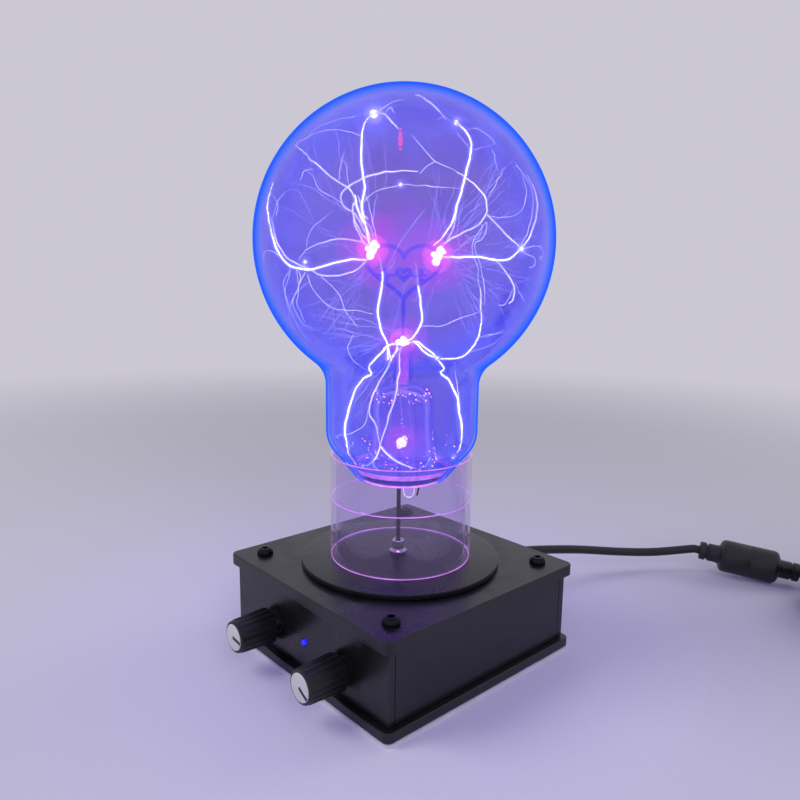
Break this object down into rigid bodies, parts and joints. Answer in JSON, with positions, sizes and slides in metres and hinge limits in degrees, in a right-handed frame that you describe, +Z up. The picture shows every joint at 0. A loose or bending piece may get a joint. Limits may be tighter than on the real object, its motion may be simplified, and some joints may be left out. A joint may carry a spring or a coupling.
{
  "type": "desktop resonant transformer",
  "caption": "Square high-frequency driver box with two control knobs, a clear tube on its lid and a globe discharge bulb standing in the tube.",
  "frame": {"origin": "middle of the box's underside, where it stands on the table", "axes": "+Z up, -Y towards the face with the two knobs, +Y towards the face with the DC socket"},
  "size_m": [0.313, 0.2989, 0.2332],
  "materials": {
    "grey_foam": "matte foam sheet",
    "black_acrylic": "satin black acrylic",
    "aluminium": "plain",
    "black_steel": "black oxide",
    "clear_acrylic": "clear, polished",
    "nickel": "nickel plated",
    "lead_metal": "dark wire",
    "clear_glass": "clear",
    "electrode_steel": "satin",
    "knob_plastic": "moulded",
    "pale_plastic": "satin",
    "blue_lens": "clear lens",
    "dark_epoxy": "moulded",
    "circuit_green": "solder mask",
    "ferrite": "unglazed",
    "enamelled_copper": "enamelled wire",
    "red_wire": "silicone insulation",
    "capacitor_sleeve": "shrink sleeve",
    "black_rubber": "soft PVC"
  },
  "bodies": {
    "box": {"base_mat": "grey_foam", "bottom_plate": "black_acrylic", "front_panel": "black_acrylic", "rear_panel": "black_acrylic", "left_wall": "black_acrylic", "right_wall": "black_acrylic", "top_plate": "black_acrylic", "top_disc": "black_acrylic", "corner_sleeve_1": "aluminium", "corner_sleeve_2": "aluminium", "corner_sleeve_3": "aluminium", "corner_sleeve_4": "aluminium", "lid_screw_1": "black_steel", "lid_screw_2": "black_steel", "lid_screw_3": "black_steel", "lid_screw_4": "black_steel", "tube_lower": "clear_acrylic", "tube_upper": "clear_acrylic", "hv_terminal": "nickel", "terminal_nut": "nickel", "hv_rod": "lead_metal", "pot_left": "aluminium", "pot_right": "aluminium", "pot_nut_left": "nickel", "pot_nut_right": "nickel", "indicator_led": "blue_lens", "dc_socket": "dark_epoxy", "socket_nut": "nickel", "circuit_board": "circuit_green", "transformer_core": "ferrite", "primary_winding": "enamelled_copper", "secondary_winding": "enamelled_copper", "hv_lead": "red_wire", "heatsink": "aluminium", "power_transistor": "dark_epoxy", "capacitor_1": "capacitor_sleeve", "capacitor_2": "capacitor_sleeve", "dc_plug": "black_rubber", "power_lead": "black_rubber", "ferrite_choke": "black_rubber", "lead_to_coil": "black_rubber", "lead_coil": "black_rubber", "coil_tie": "black_rubber", "adapter_lead": "black_rubber", "adapter_relief": "black_rubber", "mains_adapter": "knob_plastic", "adapter_blade_1": "nickel", "adapter_blade_2": "nickel"},
    "bulb": {"bulb_glass": "clear_glass", "bulb_stem": "clear_glass", "exhaust_tube": "clear_glass", "lead_wire": "lead_metal", "support_wire": "lead_metal", "heart_electrode": "electrode_steel"},
    "left_control": {"knob_left": "knob_plastic", "knob_cap_left": "pale_plastic", "pot_shaft_left": "nickel"},
    "right_control": {"knob_right": "knob_plastic", "knob_cap_right": "pale_plastic", "pot_shaft_right": "nickel"}
  },
  "joints": [
    {"name": "knob_left", "type": "hinge", "parent": "box", "child": "left_control", "pos_m": [-0.0235, -0.0603, 0.0162], "axis": [0, 1, 0], "range_deg": [-247, 53]},
    {"name": "knob_right", "type": "hinge", "parent": "box", "child": "right_control", "pos_m": [0.0235, -0.0603, 0.0162], "axis": [0, 1, 0], "range_deg": [-270, 30]},
    {"name": "bulb_lift", "type": "slide", "parent": "box", "child": "bulb", "axis": [0, 0, 1], "range_m": [0, 0.1]}
  ]
}
